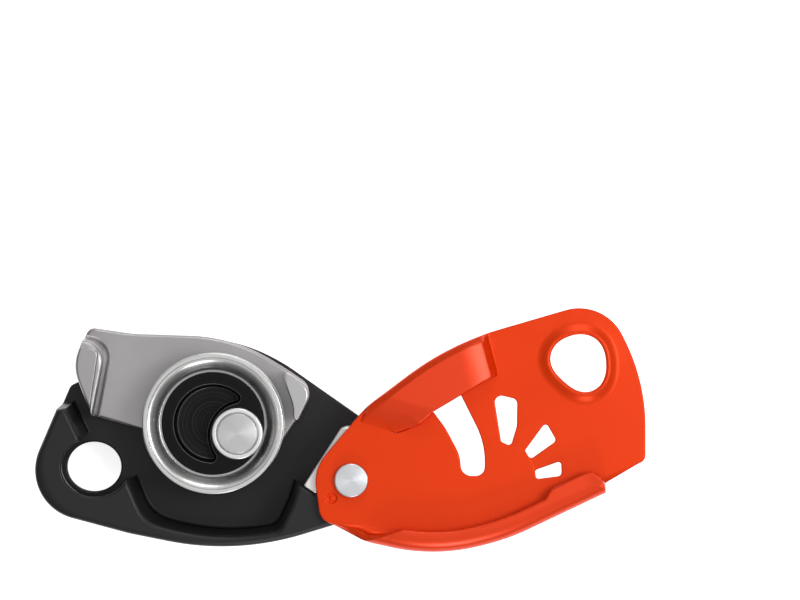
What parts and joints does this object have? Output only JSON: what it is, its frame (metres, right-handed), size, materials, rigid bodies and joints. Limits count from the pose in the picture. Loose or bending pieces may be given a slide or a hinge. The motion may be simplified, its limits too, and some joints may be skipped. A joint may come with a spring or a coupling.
{
  "type": "cam-assisted belay device",
  "caption": "Belay device with a grooved wheel on a pivoting cam, a friction shoe, a swinging side plate with a carabiner eye, and a release handle.",
  "frame": {"origin": "middle of the bounding box in plan, at the level of the release handle's back, with the side plate open as in the picture", "axes": "+X from the frame's eye towards the open side plate's eye, +Y across the device towards the rope's way out, +Z from the release handle to the moving plate"},
  "size_m": [0.1588, 0.0632, 0.0378],
  "materials": {
    "side_frame": "black anodised, satin",
    "friction_shoe": "bright stainless steel",
    "cam_plate": "cast stainless steel, bead blasted",
    "wheel_sheave": "polished stainless steel",
    "wheel_hub": "black anodised with turning rings",
    "moving_side_plate": "orange anodised, satin",
    "cam_axle": "turned steel",
    "axle_collar": "turned steel",
    "plate_rivet": "turned steel",
    "bronze": "bearing bronze",
    "steel": "plain steel",
    "spring": "spring steel wire",
    "nylon": "black glass-filled nylon",
    "white_polymer": "acetal",
    "handle_link": "stamped steel"
  },
  "bodies": {
    "frame_body": {"side_frame": "side_frame", "friction_shoe": "friction_shoe", "shoe_pin_a": "steel", "shoe_pin_b": "steel", "cam_axle": "cam_axle", "axle_collar": "axle_collar", "cam_thrust_washer": "bronze", "cam_spring": "spring", "plate_rivet": "plate_rivet", "pivot_washer": "white_polymer", "axle_back_washer": "steel", "handle_spring": "spring"},
    "cam": {"cam_plate": "cam_plate", "wheel_hub": "wheel_hub", "cam_bush": "bronze", "hub_dowel_a": "steel", "hub_dowel_b": "steel", "drive_pin": "steel", "wheel_washer": "white_polymer"},
    "wheel": {"wheel_sheave": "wheel_sheave", "wheel_bush": "bronze"},
    "plate": {"moving_side_plate": "moving_side_plate", "plate_bush": "bronze"},
    "handle": {"handle_link": "handle_link", "handle_grip": "nylon", "grip_rivet_a": "steel", "grip_rivet_b": "steel", "handle_cap": "nylon"}
  },
  "joints": [
    {"name": "cam_pivot", "type": "hinge", "parent": "frame_body", "child": "cam", "pos_m": [-0.0267, -0.00107, 0.0146], "axis": [0, 0, 1], "range_deg": [-32, 0], "stiffness_Nm_per_rad": 0.03, "springref_deg": 34.38, "deforming": ["cam_spring"]},
    {"name": "wheel_spin", "type": "hinge", "parent": "cam", "child": "wheel", "pos_m": [-0.03307, 0.00153, 0.023], "axis": [0, 0, 1], "continuous": true},
    {"name": "plate_swing", "type": "hinge", "parent": "frame_body", "child": "plate", "pos_m": [0.003, -0.01307, 0.0314], "axis": [0, 0, 1], "range_deg": [0, 150]},
    {"name": "handle_swing", "type": "hinge", "parent": "frame_body", "child": "handle", "pos_m": [-0.0267, -0.00107, 0.005], "axis": [0, 0, 1], "range_deg": [0, 90], "stiffness_Nm_per_rad": 0.008, "springref_deg": -45.84}
  ]
}
